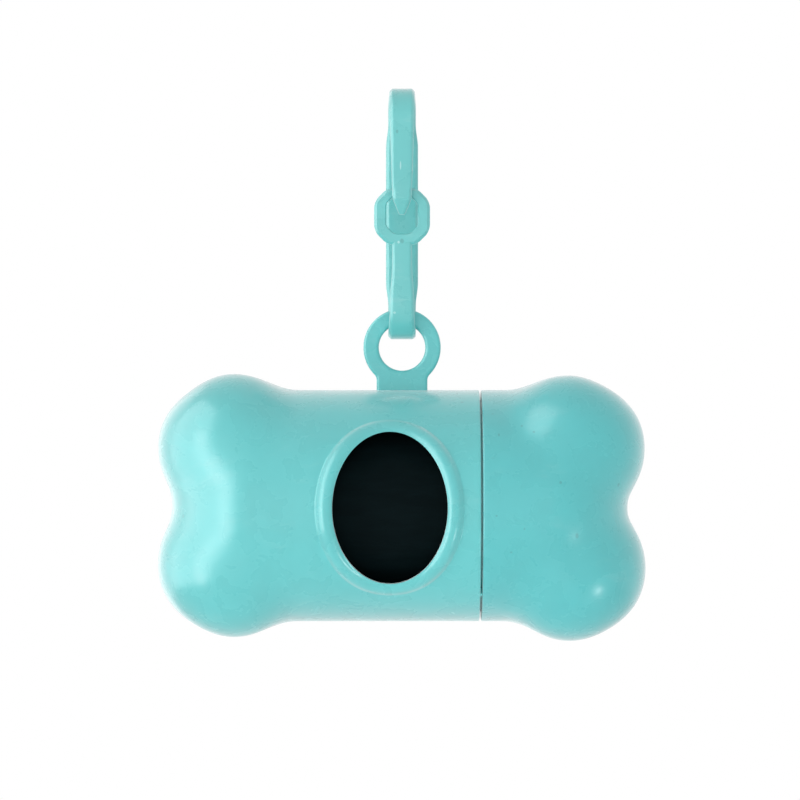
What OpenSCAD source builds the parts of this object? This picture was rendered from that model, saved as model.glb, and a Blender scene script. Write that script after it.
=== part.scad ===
// Bone-shaped bag dispenser that hangs from a one-piece lead clip.
// The origin is the centre of the clip's top loop. +X runs along the bone to its cap, the window
// faces -Y and +Z is up. Lengths are in millimetres, and angles in degrees.

/* [Bone] */
// Radius of the round middle of the bone
body_r = 20; // [19.6:0.1:22]
// Thickness of the wall, measured square to the skin
wall = 2; // [1.8:0.1:2.4]
// Distance from the middle of the bone to where its middle would end without the knobs
core_half_l = 38; // [36:0.5:40]
// Radius that rounds the ends of the middle
end_round = 13; // [10:0.5:16]
// Radius of the four knobs
knob_r = 12.6; // [11:0.1:14]
// Distance of the knobs from the middle of the bone, along it
knob_x = 29.3; // [28:0.1:31]
// Height of the upper knobs above the bone's axis, and depth of the lower ones below it
knob_z = 10.1; // [8:0.1:11]
// Half of the straight stretch of each knob from front to back
knob_half_depth = 5; // [2:0.5:6]
// Width of the soft blend between the two knobs of one end
knob_blend = 5.5; // [2:0.5:8]
// Width of the soft blend between the knobs and the middle
body_blend = 2.5; // [1:0.5:4]
// Radius of the mark that the moulding gate leaves on the closed end
gate_mark_r = 0.75; // [0.4:0.05:1.2]
// Height of that mark above the bone's axis
gate_mark_z = 0.7; // [0:0.1:3]

/* [Closure] */
// Distance of the seam from the middle of the bone
seam_x = 13.5; // [13:0.1:15]
// Gap that shows at the seam
seam_gap = 0.3; // [0.2:0.05:0.5]
// Bevel on both edges of the seam
seam_bevel = 0.3; // [0.1:0.05:0.5]
// Length of the neck that plugs into the cap
neck_l = 7; // [4:0.5:9]
// Thickness of the neck
neck_wall = 1.4; // [1.2:0.1:1.5]
// Radial clearance of the neck in the cap
neck_clearance = 0.1; // [0.05:0.01:0.1]
// Thickness of the cap round the neck
socket_wall = 1.8; // [1.6:0.05:1.8]
// How far the root of the neck reaches back inside the main shell
neck_root = 3; // [2.4:0.1:3.2]
// Angle below the front at which the locating key sits
key_angle = 48.6; // [30:0.1:80]
// Width of the locating key
key_w = 0.9; // [0.6:0.1:3]
// How far the key reaches into its notch in the cap
key_reach = 0.5; // [0.4:0.1:2]
// Clearance round the key in its notch
key_clearance = 0.15; // [0.1:0.05:0.3]

/* [Window] */
// Distance of the window's centre from the middle of the bone, along it
window_x = -2.05; // [-4:0.05:-1]
// Width of the window
window_w = 19.5; // [14:0.1:20]
// Height of the window, as seen from the front
window_h = 25.8; // [18:0.1:27]
// Width of the raised rim round the window
rim_w = 2.85; // [2:0.05:3]
// Height of the rim above the body
rim_h = 1.3; // [0.8:0.1:2]

/* [Hanging tab] */
// Outer radius of the ring on the tab
ring_r = 6.7; // [6.2:0.1:8]
// Radius of the eye in the ring
eye_r = 4; // [3.6:0.05:4]
// Height of the ring's centre above the top of the body
ring_rise = 7.36; // [6.8:0.02:10]
// Thickness of the ring and of the plate that carries it
tab_t = 2.8; // [2.4:0.1:3]
// Width of the plate that carries the ring
tab_w = 8.8; // [6:0.1:10]
// Radius on the edges of the ring
ring_fillet = 0.65; // [0.6:0.05:1.15]
// Radius on the upright edges of the plate
tab_fillet = 0.5; // [0.4:0.1:1]

/* [Clip] */
// Overall height of the clip
clip_h = 43.4; // [40:0.2:60]
// Overall depth of the clip's loop from front to back
clip_depth = 11.8; // [11:0.1:16]
// Thickness of the clip's strap
strap_t = 1.8; // [1.6:0.1:1.9]
// Width of the strap at its two bends
strap_w = 4.8; // [4:0.05:5.2]
// Width of the strap along the back
spine_w = 5.6; // [4.8:0.02:6]
// Length over which the back widens below and above the bends
spine_taper = 4; // [3:0.5:10]
// Bevel along the edges of the strap
strap_bevel = 0.5; // [0.5:0.05:0.78]
// Width of both front arms where they reach the catch
arm_w = 3.4; // [2.6:0.1:3.6]
// Clearance at rest between the clip and what hangs in it or closes on it
rest_gap = 0.3; // [0.25:0.05:0.4]

/* [Catch] */
// Width of the eight-sided catch
catch_w = 9.6; // [9:0.1:11]
// Height of the catch
catch_h = 9.9; // [9:0.1:12]
// Corner cut of the catch
catch_corner = 2.4; // [1.5:0.1:2.5]
// Width of the hole in the catch
catch_hole_w = 5.4; // [5.4:0.1:6.5]
// Height of the hole in the catch
catch_hole_h = 6.45; // [6:0.05:7]
// Corner cut of the hole
catch_hole_corner = 1.3; // [1:0.1:1.7]
// Height of the lower bar of the catch
catch_bar_h = 2; // [1.5:0.1:2.2]
// Bevel round the catch
catch_bevel = 0.5; // [0.2:0.05:0.6]
// Distance from the centre of the top loop down to the centre of the catch
catch_drop = 16.45; // [14:0.05:20]
// How far the tongue reaches down past the upper bar of the catch
tongue_l = 3.25; // [2.8:0.05:3.4]
// How far the hook of the tongue reaches behind the front of the catch
hook_depth = 1; // [0.6:0.1:1.4]
// Width of the tongue at its tip
tongue_tip_w = 1; // [0.6:0.1:1.6]
// Thickness of the tongue at its tip
tongue_tip_t = 1; // [0.8:0.1:1.2]
// Clearance of the hook below the upper bar
hook_gap = 0.6; // [0.4:0.05:0.8]

/* [Bag roll] */
// Radial room of the full roll of bags in the neck
roll_room = 0.7; // [0.5:0.1:3]
// Length of the roll
roll_l = 60; // [50:0.5:61]
// Outer radius of the cardboard core
core_r = 7.5; // [6:0.1:9]
// Thickness of the cardboard core
core_wall = 1; // [0.8:0.1:1.5]
// Gap between the core and the first turn of film
core_gap = 0.03; // [0.02:0.01:0.05]
// Gap between the roll and the neck that it rests in
roll_gap = 0.3; // [0.25:0.05:0.4]

/* [Hidden] */
teal = [0.44, 0.8, 0.79];
film_black = [0.05, 0.06, 0.06];
cardboard = [0.66, 0.53, 0.38];
$fn = 96;

// Numbers of facets of the free-form skins
sides = 64;
cavity_sides = 48;
blend_rings = 8;
end_rings = 17;
cavity_end_rings = 10;
solve_steps = 18;
rim_steps = 72;
rim_sides = 7;
rim_lap = 0.3;
rim_sink = 0.6;
overlap = 0.5;
slice = 0.01;

// Small leads, steps and slants
neck_lead = 0.5;
key_inset = 0.2;
gate_heel = 0.3;
hook_land = 0.1;
hook_slant = 0.4;

// The loop of the clip, seen from the side
bend_r = clip_depth / 2;
bend_mid_r = bend_r - strap_t / 2;
bend_in_r = bend_r - strap_t;
low_bend_z = clip_depth - clip_h;
strap_y = -bend_mid_r;
arm_face_half = strap_w / 2 - strap_bevel;

// The ring rests on the clip's lower bend, and the bone hangs below the ring
bar_top_z = low_bend_z - bend_in_r;
ring_z = bar_top_z + rest_gap - sqrt(eye_r * eye_r - arm_face_half * arm_face_half);
axis_z = ring_z - ring_rise - body_r;

// The closure
shell_mouth = seam_x - seam_gap / 2;
cap_mouth = seam_x + seam_gap / 2;
socket_r = body_r - socket_wall;
neck_r = socket_r - neck_clearance;
neck_bore_r = neck_r - neck_wall;
neck_tip_x = shell_mouth + neck_l;
neck_root_x = shell_mouth - neck_root;
key_in_r = socket_r + key_inset;
key_out_r = body_r - key_inset;

// Where the knobs start to lift the skin, and the centre from which the ends are laid out
blend_x = knob_x - knob_r - body_blend;
fan_x = core_half_l - end_round;
solve_far = 2 * body_r;

// The gate of the clip, its pivot and its tongue
gate_pivot_z = -(strap_t / 2 + rest_gap + gate_heel);
arm_y = strap_y - strap_t - rest_gap;
catch_z = -catch_drop;
catch_top_z = catch_z + catch_h / 2;
catch_hole_z = catch_z - catch_h / 2 + catch_bar_h;
bar_under_z = catch_hole_z + catch_hole_h;
tongue_tip_z = bar_under_z - tongue_l;
shoulder_z = bar_under_z - hook_gap;
catch_front_y = strap_y - strap_t / 2;

// The roll lies at the bottom of the neck
roll_r = neck_bore_r - roll_room;
roll_z = axis_z - (neck_bore_r - roll_r - roll_gap);

// ---- Skin of the bone, as a distance from its surface: negative inside ----

function soft_min(a, b, width) = min(a, b) - pow(max(width - abs(a - b), 0), 2) / (4 * width);

function core_distance(p) =
    let (along = abs(p[0]) - core_half_l + end_round, out = norm([p[1], p[2]]) - body_r + end_round)
    norm([max(along, 0), max(out, 0)]) + min(max(along, out), 0) - end_round;

function knob_distance(p, side) =
    norm([abs(p[0]) - knob_x, max(abs(p[1]) - knob_half_depth, 0), p[2] - side * knob_z]) - knob_r;

function bone_distance(p) =
    let (knobs = soft_min(knob_distance(p, 1), knob_distance(p, -1), knob_blend))
    soft_min(core_distance(p), knobs, body_blend);

// Halves the stretch of a ray that holds the skin until it is a point
function skin_reach(from, way, inset, near, far, steps) =
    let (middle = (near + far) / 2)
    steps == 0 ? middle :
    bone_distance(from + middle * way) + inset < 0 ? skin_reach(from, way, inset, middle, far, steps - 1) :
    skin_reach(from, way, inset, near, middle, steps - 1);

function skin_point(from, way, inset) =
    from + skin_reach(from, way, inset, 0, solve_far, solve_steps) * way;

// One ring of the skin: rays that leave the axis at x, leaning towards the end by an angle
function skin_ring(x, lean, inset, count) =
    [for (i = [0 : count - 1])
        let (a = 360 * i / count)
        skin_point([x, 0, 0], [sin(lean), cos(lean) * cos(a), cos(lean) * sin(a)], inset)];

// Triangles of a closed skin: a flat mouth, rings joined by strips and a pole
function mouth_face(count) = [[for (i = [0 : count - 1]) i]];

function strip_faces(rings, count) =
    [for (r = [0 : rings - 2], i = [0 : count - 1])
        let (a = r * count + i, b = r * count + (i + 1) % count)
        each [[a, a + count, b], [b, a + count, b + count]]];

function pole_faces(rings, count) =
    let (last = (rings - 1) * count)
    [for (i = [0 : count - 1]) [last + i, last + count, last + (i + 1) % count]];

// One end of the bone, open side at x = mouth and pole towards +X
module half_bone(mouth, inset, bevel, count, fan_rings) {
    straight = bevel > 0 ? [[mouth, bevel], [mouth + bevel, 0]] : [[mouth, 0]];
    lifted = [for (i = [0 : blend_rings - 1]) [blend_x + (fan_x - blend_x) * i / blend_rings, 0]];
    stations = concat(straight, lifted);
    rings = concat(
        [for (s = stations) skin_ring(s[0], 0, inset + s[1], count)],
        [for (i = [0 : fan_rings - 1]) skin_ring(fan_x, 90 * i / fan_rings, inset, count)]);
    pole = skin_point([fan_x, 0, 0], [1, 0, 0], inset);
    polyhedron(
        points = concat([for (ring = rings) each ring], [pole]),
        faces = concat(mouth_face(count), strip_faces(len(rings), count), pole_faces(len(rings), count)));
}

// ---- Window ----

// A point on the edge of the window, on the skin of the round middle, and its three directions
function window_edge(t) =
    let (z = window_h / 2 * sin(t))
    [window_x + window_w / 2 * cos(t), -sqrt(body_r * body_r - z * z), z];

function window_out(p) = [0, p[1], p[2]] / body_r;

function window_aside(t) =
    let (p = window_edge(t), along = window_edge(t + 0.5) - window_edge(t - 0.5))
    let (across = cross(along, window_out(p)))
    across / norm(across);

// The section of the rim, as an arch: distance from the window's edge and height above the skin
function rim_section() =
    concat(
        [[-rim_lap, -rim_sink]],
        [for (i = [0 : rim_sides]) [
            -rim_lap + (rim_w + rim_lap) * (1 - cos(180 * i / rim_sides)) / 2,
            rim_h * sin(180 * i / rim_sides)]],
        [[rim_w, -rim_sink]]);
module window_rim() {
    section = rim_section();
    count = len(section);
    points = [for (j = [0 : rim_steps - 1])
        let (t = 360 * j / rim_steps, p = window_edge(t), out = window_out(p), aside = window_aside(t))
        each [for (s = section) p + s[0] * aside + s[1] * out]];
    faces = [for (j = [0 : rim_steps - 1], i = [0 : count - 1])
        let (a = j * count + i, b = j * count + (i + 1) % count)
        let (c = ((j + 1) % rim_steps) * count + i, d = ((j + 1) % rim_steps) * count + (i + 1) % count)
        each [[a, c, b], [b, c, d]]];
    polyhedron(points = points, faces = faces);
}

module window_cut() {
    outline = [for (j = [0 : rim_steps - 1])
        let (p = window_edge(360 * j / rim_steps))
        [p[0], p[2]]];
    translate([0, -body_r / 2, 0])
        rotate([90, 0, 0])
        linear_extrude(body_r)
        polygon(outline);
}

// ---- Shared shapes ----

module along_x(from, to, r, r_end) {
    translate([from, 0, 0])
        rotate([0, 90, 0])
        cylinder(h = to - from, r1 = r, r2 = r_end);
}

module rounded_bar(w, t, r) {
    square([w - 2 * r, t], center = true);
    square([w, t - 2 * r], center = true);
    for (x = [-1, 1], y = [-1, 1])
        translate([x * (w / 2 - r), y * (t / 2 - r)])
            circle(r);
}

// Section of the clip's strap, first across its width and then through its thickness
module strap_section(w) {
    a = w / 2;
    b = strap_t / 2;
    c = strap_bevel;
    polygon([[-a, c - b], [c - a, -b], [a - c, -b], [a, c - b], [a, b - c], [a - c, b], [c - a, b], [-a, b - c]]);
}

module strap_slice(y, z, w) {
    translate([0, y, z])
        linear_extrude(slice)
        strap_section(w);
}

module strap_bend() {
    rotate([90, 0, 90])
        rotate_extrude(angle = 180)
        translate([bend_mid_r, 0])
        rotate(90)
        strap_section(strap_w);
}

function eight_sided(w, h, c) =
    let (a = w / 2, b = h / 2)
    [[-a, c - b], [c - a, -b], [a - c, -b], [a, c - b], [a, b - c], [a - c, b], [c - a, b], [-a, b - c]];

module upright_plate(thickness, outline) {
    rotate([90, 0, 0])
        linear_extrude(thickness, center = true)
        polygon(outline);
}

// The key's block on the seam, grown all round by a clearance
module key_block(grow, in_r, out_r) {
    rotate([key_angle, 0, 0])
        translate([shell_mouth - overlap, -out_r, -key_w / 2 - grow])
        cube([overlap + seam_gap + key_reach + (grow > 0 ? rest_gap : 0), out_r - in_r, key_w + 2 * grow]);
}

// ---- Pieces ----

module main_shell() {
    color(teal)
        translate([0, 0, axis_z])
        difference() {
            union() {
                mirror([1, 0, 0])
                    half_bone(-shell_mouth, 0, seam_bevel, sides, end_rings);
                window_rim();
                along_x(shell_mouth - overlap, neck_tip_x - neck_lead, neck_r, neck_r);
                along_x(neck_tip_x - neck_lead, neck_tip_x, neck_r, neck_r - neck_lead);
                key_block(0, key_in_r, key_out_r);
                tab_plate();
                hanging_ring();
                gate_mark();
            }
            mirror([1, 0, 0])
                half_bone(-neck_root_x, wall, 0, cavity_sides, cavity_end_rings);
            along_x(neck_root_x - slice, neck_root_x + neck_wall, neck_bore_r + neck_wall / 2, neck_bore_r);
            along_x(neck_root_x, neck_tip_x + overlap, neck_bore_r, neck_bore_r);
            window_cut();
        }
}

module tab_plate() {
    top = body_r + ring_rise - eye_r - ring_fillet;
    bottom = body_r - wall / 2;
    translate([0, 0, bottom])
        linear_extrude(top - bottom)
        rounded_bar(tab_w, tab_t, tab_fillet);
}

module hanging_ring() {
    translate([0, 0, body_r + ring_rise])
        rotate([90, 0, 0])
        rotate_extrude()
        translate([(ring_r + eye_r) / 2, 0])
        rounded_bar(ring_r - eye_r, tab_t, ring_fillet);
}

module gate_mark() {
    end_x = skin_point([fan_x, 0, 0], [1, 0, 0], 0)[0];
    translate([0, 0, gate_mark_z])
        along_x(-end_x - rim_lap, -end_x + wall / 2, gate_mark_r, gate_mark_r);
}

module end_cap() {
    color(teal)
        translate([0, 0, axis_z])
        difference() {
            half_bone(cap_mouth, 0, seam_bevel, sides, end_rings);
            half_bone(cap_mouth + overlap, wall, 0, cavity_sides, cavity_end_rings);
            along_x(cap_mouth - overlap, neck_tip_x + rest_gap, socket_r, socket_r);
            key_block(key_clearance, socket_r - overlap, body_r + overlap);
        }
}

module clip_body() {
    color(teal)
        difference() {
            union() {
                strap_bend();
                translate([0, 0, low_bend_z])
                    mirror([0, 0, 1])
                    strap_bend();
                clip_spine();
                clip_lower_arm();
                clip_catch();
                translate([0, strap_y, gate_pivot_z + overlap])
                    linear_extrude(-gate_pivot_z - overlap)
                    strap_section(strap_w);
            }
            translate([0, strap_y, gate_pivot_z])
                along_x(-strap_w, strap_w, strap_t / 2 + rest_gap, strap_t / 2 + rest_gap);
        }
}

module clip_spine() {
    hull() {
        strap_slice(-strap_y, -slice, strap_w);
        strap_slice(-strap_y, -spine_taper, spine_w);
    }
    translate([0, -strap_y, low_bend_z + spine_taper])
        linear_extrude(-low_bend_z - 2 * spine_taper)
        strap_section(spine_w);
    hull() {
        strap_slice(-strap_y, low_bend_z + spine_taper - slice, spine_w);
        strap_slice(-strap_y, low_bend_z, strap_w);
    }
}

module clip_lower_arm() {
    hull() {
        strap_slice(strap_y, low_bend_z, strap_w);
        strap_slice(strap_y, catch_hole_z - catch_bar_h / 2, arm_w);
    }
}

module clip_catch() {
    edge = 2 * catch_bevel;
    difference() {
        translate([0, strap_y, catch_z])
            hull() {
                upright_plate(strap_t - edge, eight_sided(catch_w, catch_h, catch_corner));
                upright_plate(strap_t, eight_sided(catch_w - edge, catch_h - edge, catch_corner - catch_bevel / 2));
            }
        translate([0, strap_y, catch_hole_z + catch_hole_h / 2])
            upright_plate(2 * strap_t, eight_sided(catch_hole_w, catch_hole_h, catch_hole_corner));
    }
}

module clip_gate() {
    color(teal) {
        translate([0, strap_y, gate_pivot_z])
            gate_knuckle();
        hull() {
            strap_slice(strap_y, gate_pivot_z - slice, strap_w);
            strap_slice(arm_y, catch_top_z, arm_w);
        }
        tongue();
    }
}

// The round end on which the gate turns, with the strap's bevels
module gate_knuckle() {
    a = strap_w / 2;
    r = strap_t / 2;
    c = strap_bevel;
    rotate([90, 0, 90])
        rotate_extrude(angle = 180)
        polygon([[0, -a], [r - c, -a], [r, c - a], [r, a - c], [r - c, a], [0, a]]);
}

// The end of the gate: it passes in front of the catch's upper bar and hooks under it
module tongue() {
    front_y = arm_y - strap_t / 2;
    back_y = arm_y + strap_t / 2;
    hook_y = catch_front_y + hook_depth;
    slope_z = shoulder_z - hook_land;
    side_view = [
        [front_y, catch_top_z], [front_y, slope_z], [hook_y - tongue_tip_t - hook_slant, tongue_tip_z],
        [hook_y - hook_slant, tongue_tip_z], [hook_y, (shoulder_z + tongue_tip_z) / 2], [hook_y, shoulder_z],
        [back_y, shoulder_z], [back_y, catch_top_z]];
    front_view = [
        [-arm_w / 2, catch_top_z], [-arm_w / 2, shoulder_z + hook_gap / 2],
        [-tongue_tip_w / 2, tongue_tip_z], [tongue_tip_w / 2, tongue_tip_z],
        [arm_w / 2, shoulder_z + hook_gap / 2], [arm_w / 2, catch_top_z]];
    intersection() {
        rotate([90, 0, 90])
            linear_extrude(arm_w, center = true)
            polygon(side_view);
        translate([0, arm_y, 0])
            upright_plate(4 * strap_t, front_view);
    }
}

module bag_roll() {
    color(film_black)
        translate([0, 0, roll_z])
        difference() {
            along_x(-roll_l / 2, roll_l / 2, roll_r, roll_r);
            along_x(-roll_l, roll_l, core_r + core_gap, core_r + core_gap);
        }
}

module roll_core() {
    color(cardboard)
        translate([0, 0, roll_z])
        difference() {
            along_x(-roll_l / 2, roll_l / 2, core_r, core_r);
            along_x(-roll_l, roll_l, core_r - core_wall, core_r - core_wall);
        }
}

clip_body();
clip_gate();
main_shell();
end_cap();
bag_roll();
roll_core();
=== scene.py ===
"""Bone-shaped bag dispenser hanging from its lead clip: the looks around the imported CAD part."""

import math

import bmesh
import bpy
import numpy as np
from bpy.props import FloatProperty, FloatVectorProperty, IntProperty, PointerProperty
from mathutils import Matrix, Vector


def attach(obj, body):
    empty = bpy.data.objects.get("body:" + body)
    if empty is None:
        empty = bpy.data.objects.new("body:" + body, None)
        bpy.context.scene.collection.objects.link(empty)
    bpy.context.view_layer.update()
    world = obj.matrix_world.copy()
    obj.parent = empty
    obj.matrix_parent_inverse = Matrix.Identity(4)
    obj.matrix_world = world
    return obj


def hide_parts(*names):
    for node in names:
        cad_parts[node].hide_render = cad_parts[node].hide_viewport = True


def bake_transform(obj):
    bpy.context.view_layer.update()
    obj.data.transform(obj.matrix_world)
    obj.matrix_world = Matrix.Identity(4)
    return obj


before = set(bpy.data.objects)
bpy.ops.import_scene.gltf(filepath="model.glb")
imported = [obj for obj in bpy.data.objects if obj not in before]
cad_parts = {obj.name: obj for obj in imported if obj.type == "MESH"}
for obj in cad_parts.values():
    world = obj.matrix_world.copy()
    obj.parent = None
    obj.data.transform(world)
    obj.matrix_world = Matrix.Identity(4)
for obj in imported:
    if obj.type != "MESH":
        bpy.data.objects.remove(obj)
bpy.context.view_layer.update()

bl_info = {
    "name": "Bag dispenser",
    "version": (1, 0, 0),
    "blender": (4, 5, 0),
    "location": "3D View > Sidebar > Dispenser",
    "description": "Builds a bone-shaped bag dispenser, its lead clip and its bag roll round a CAD frame",
    "category": "Object",
}

MM = 0.001
TINY = 0.001

# ---- Sizes in millimetres, as in the CAD part; the bone's own height is measured from its axis ----

BODY_R = 20.0
BODY_HALF_L = 38.0
END_ROUND = 13.0
WALL = 2.0
KNOB_R = 12.6
KNOB_HALF_DEPTH = 5.0
# Each knob as the photograph shows it, by end and side: how far along, how high or low, how much its outer
# slant is flattened and where, in degrees; the CAD part's four knobs are alike, at 29.3 and 10.1
KNOBS = {
    (-1, 1): (29.3, 10.2, 0.64, 53),
    (-1, -1): (29.35, 9.95, 0.52, 58),
    (1, 1): (29.1, 10.0, 0.54, 60),
    (1, -1): (29.25, 10.6, 0.4, 60),
}
SLANT_FOCUS = 10
KNOB_BLENDS = {-1: 6.3, 1: 3.6}
BODY_BLEND = 2.5
FAN_X = BODY_HALF_L - END_ROUND

SHELL_MOUTH = 13.35
CAP_MOUTH = 13.65
SEAM_BEVEL = 0.3
SOCKET_R = 18.2
SOCKET_LEAD = 0.25
NECK_R = 18.1
NECK_BORE_R = 16.7
NECK_TIP_X = 20.35
NECK_ROOT_X = 10.35
NECK_LEAD = 0.5
NECK_HOLD = 3.0
NECK_FLARE = 1.4
SOCKET_MID_X = 17.0
SOCKET_DEPTH_X = NECK_TIP_X + 0.3
KEY_ANGLE = math.radians(48.6)
KEY_HALF_W = 0.32
KEY_ROOT = 0.5
KEY_BEVEL = 0.08
KEY_LOW_R = SOCKET_R + 0.2
KEY_HIGH_R = BODY_R - 0.05

WINDOW_X = -2.05
WINDOW_W = 19.5
WINDOW_H = 25.8
# Where the cells round the window end, to the left and right of the bone's middle
PATCH_LEFT = 15.4
PATCH_RIGHT = 11.3
INNER_PATCH_RIGHT = 10.0
# The rim's arch from the window outwards: how it leans at its start and end, in degrees, and how wide it is
RIM_ARCH = ((-52, 0, 1.15), (0, 50, 1.1), (50, 50, 0.5), (50, 0, 0.3))
RIM_ARCH_W = 2.85
RIM_FADE = 0.7

EYE_R = 4.0
EYE_ROUND = 0.6
RING_R = 6.7
RING_ROUND = 0.5
RING_RISE = 7.36
TAB_T = 2.8
TAB_W = 8.8
TAB_TOP = -2.0
TAB_ROOT = 1.3
TAB_BLEND = 0.45

STRAP_T = 1.8
STRAP_W = 4.8
CROWN_W = 4.45
FRONT_W = 4.2
SPINE_W = 5.6
SPINE_TAPER = 4.0
STRAP_BEVEL = 0.5
CORNER_ROUND = 0.16
ARM_W = 3.4
GATE_GAP = 0.3
BEND_R = 5.0
ARM_Y = -BEND_R - STRAP_T - GATE_GAP
LOW_BEND_Z = -31.6
CATCH_Z = -16.45
CATCH_TOP_Z = -11.5
CATCH_HOLE_Z = -16.175
LOW_ARM_TOP_Z = CATCH_Z - 3.9
# The catch's outline and its hole: half width, half height, how much each corner is cut off, its rounding
CATCH_OUTLINE = (4.8, 4.95, 2.4, 0.8)
CATCH_HOLE = (2.7, 3.225, 1.3, 0.3)
CATCH_BEVEL = 0.5
CATCH_HOLE_BEVEL = 0.22
# The tongue from the arm down to its hooked tip: height, front, back, half width and bevel
TONGUE = (
    (CATCH_TOP_Z - 0.6, -8.0, -6.2, 1.7, 0.5),
    (-12.9, -8.0, -6.2, 1.68, 0.48),
    (-13.45, -7.98, -6.2, 1.6, 0.45),
    (-13.55, -7.97, -6.15, 1.58, 0.45),
    (-13.56, -7.96, -4.98, 1.57, 0.42),
    (-13.7, -7.9, -4.9, 1.52, 0.4),
    (-14.3, -7.55, -4.9, 1.28, 0.36),
    (-14.9, -7.15, -4.92, 1.02, 0.33),
    (-15.5, -6.75, -5.08, 0.77, 0.3),
    (-16.0, -6.4, -5.24, 0.56, 0.26),
    (-16.17, -6.25, -5.35, 0.42, 0.2),
)

RING_Z = -38.91994
AXIS_Z = RING_Z - RING_RISE - BODY_R
ROLL_Z = AXIS_Z - 0.4
ROLL_R = 16.0
ROLL_HALF_L = 30.0
CORE_R = 7.5
CORE_WALL = 1.0

BONE_SCUFFS = 0.05
CLIP_GLOSS = 0.3
CLIP_MOTTLE = 0.03
PALE_RUB = (0.62, 0.85, 0.84)
PALE_SPOT_AND_HIGHLIGHT = (0.62, 0.88, 0.88)
# Single marks on the front, as x, z, half width and half height
CAP_MARKS = (
    (20.3, -52.4, 0.25, 0.2), (22.3, -53.4, 0.3, 0.22), (16.4, -53.9, 0.2, 0.3), (26.7, -61.9, 0.3, 0.3),
    (15.9, -67.5, 0.25, 0.2), (20.6, -69.7, 0.2, 0.25), (29.5, -70.9, 0.35, 0.55), (18.4, -73.7, 0.3, 0.2),
)
CLIP_DARK_MARKS = ((-0.85, -1.9, 0.3, 0.4), (0.0, -20.7, 0.42, 0.5))
# Pale spots on the clip's front: the first two are painted highlights, a glint on the arm's curve and one
# at the catch's foot
CLIP_PALE_SPOTS_AND_HIGHLIGHTS = ((-0.25, -7.8, 0.16, 0.95), (-0.6, -20.9, 0.25, 0.3), (-1.3, -33.0, 0.3, 0.25))

# ---- Fineness of the meshes ----

SIDES = 256
OUTER_LEANS = 64
INNER_LEANS = 48
BEVEL_STEPS = 4
RIM_STEPS = 12
WINDOW_CELLS_HIGH = 76
WINDOW_CELLS_WIDE = 38
SEAM_CELLS = 3
BEYOND_CELLS = 16
CAP_CELLS = 24
SOCKET_CELLS = 8
BEND_STEPS = 28
BACK_STEPS = 44
LOW_ARM_STEPS = 16
ARM_STEPS = 32
CORNER_STEPS = 3
HALVINGS = 34
SKIN_REACH = 2.2 * BODY_R
PLATE_REACH = 14.0
SHARP_ANGLE = math.radians(35)

# ---- The stage ----

# Lamps by name: azimuth (0 is the camera's side, right is +) and elevation in degrees, distance and size in
# metres, the setting and share of its power, and the kind of light that doesn't see it
LAMPS = {
    "key_lamp": (-50, -4, 0.48, (0.15, 0.45), "key_power", 1.0, None),
    "front_lamp": (-8, -3, 0.6, (0.25, 0.5), "front_power", 1.0, "visible_glossy"),
    "left_panel": (-69, -2, 0.6, (0.9, 2.3), "panel_power", 1.0, "visible_diffuse"),
    "rear_panel": (-132, -12, 0.6, (0.6, 1.7), "panel_power", 0.17, "visible_diffuse"),
    "low_lamp": (46, -31, 0.45, (0.05, 0.07), "fill_power", 1.0, None),
}
LAMP_AIM_Z = AXIS_Z + 6.0
# The sky is dimmer round this direction, which is given as a lamp's
CARD_AZIMUTH = math.radians(55)
CARD_DEPTH = 0.5
CARD_FOCUS = 3.0
CAMERA_X = -0.35
CAMERA_Z = AXIS_Z + 18.27
# The width in metres that the camera takes in at the dispenser
FRAME_W = 0.13853
SENSOR_W = 36.0

# ---- Mesh helpers: points are rows of x, y, z in millimetres ----


class Moulding:
    """Points and faces of one piece, gathered part by part."""

    def __init__(self):
        self.points = []
        self.faces = []
        self.count = 0

    def add(self, points):
        """Adds points and returns the number of the first one."""
        points = np.asarray(points, float).reshape(-1, 3)
        first = self.count
        self.points.append(points)
        self.count += len(points)
        return first

    def strip(self, first, second, count, left_out=()):
        """Faces between two closed rows of points that start at two numbers."""
        for i in range(count):
            if i not in left_out:
                j = (i + 1) % count
                self.faces.append((first + i, first + j, second + j, second + i))

    def loft(self, rows, ends=(0, -1), loop=False):
        """Closed rows of points, each joined to the next, and closed at the named ends or in a loop."""
        size = len(rows[0])
        firsts = [self.add(row) for row in rows]
        for first, second in zip(firsts, firsts[1:]):
            self.strip(first, second, size)
        if loop:
            self.strip(firsts[-1], firsts[0], size)
            return
        for end in ends:
            self.faces.append(tuple(firsts[end] + i for i in range(size)))

    def build(self, name, material, up=0.0):
        """Makes the object, moved up, with outward faces, soft shading and its sharp edges kept."""
        mesh = bpy.data.meshes.new(name)
        points = np.concatenate(self.points) + (0.0, 0.0, up)
        mesh.from_pydata((points * MM).tolist(), [], self.faces)
        work = bmesh.new()
        work.from_mesh(mesh)
        bmesh.ops.recalc_face_normals(work, faces=work.faces)
        work.to_mesh(mesh)
        work.free()
        mesh.shade_smooth()
        mesh.set_sharp_from_angle(angle=SHARP_ANGLE)
        mesh.materials.append(material)
        piece = bpy.data.objects.new(name, mesh)
        bpy.context.scene.collection.objects.link(piece)
        return piece


def full_turn(count):
    """Evenly spaced angles of a whole circle."""
    return 2 * math.pi * np.arange(count) / count


def ring_at(x, radius, angle, z):
    """A circle square to the bone's length, with its middle at a height."""
    return np.stack([np.full(len(angle), x), radius * np.cos(angle), z + radius * np.sin(angle)], axis=1)


def rolled(flat, radius):
    """Points at a radius from rows of x and an angle round the bone, which is 0 at the front."""
    return np.stack([flat[:, 0], -radius * np.cos(flat[:, 1]), radius * np.sin(flat[:, 1])], axis=1)


def unrolled(points):
    """The reverse of rolled, whatever the radius."""
    return np.stack([points[:, 0], np.arctan2(points[:, 2], -points[:, 1])], axis=1)


def round_ring(x, radius):
    """A circle round the bone's axis, from the back by way of the underside, the front and the top."""
    return rolled(np.stack([np.full(SIDES, x), full_turn(SIDES) - math.pi], axis=1), radius)


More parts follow.
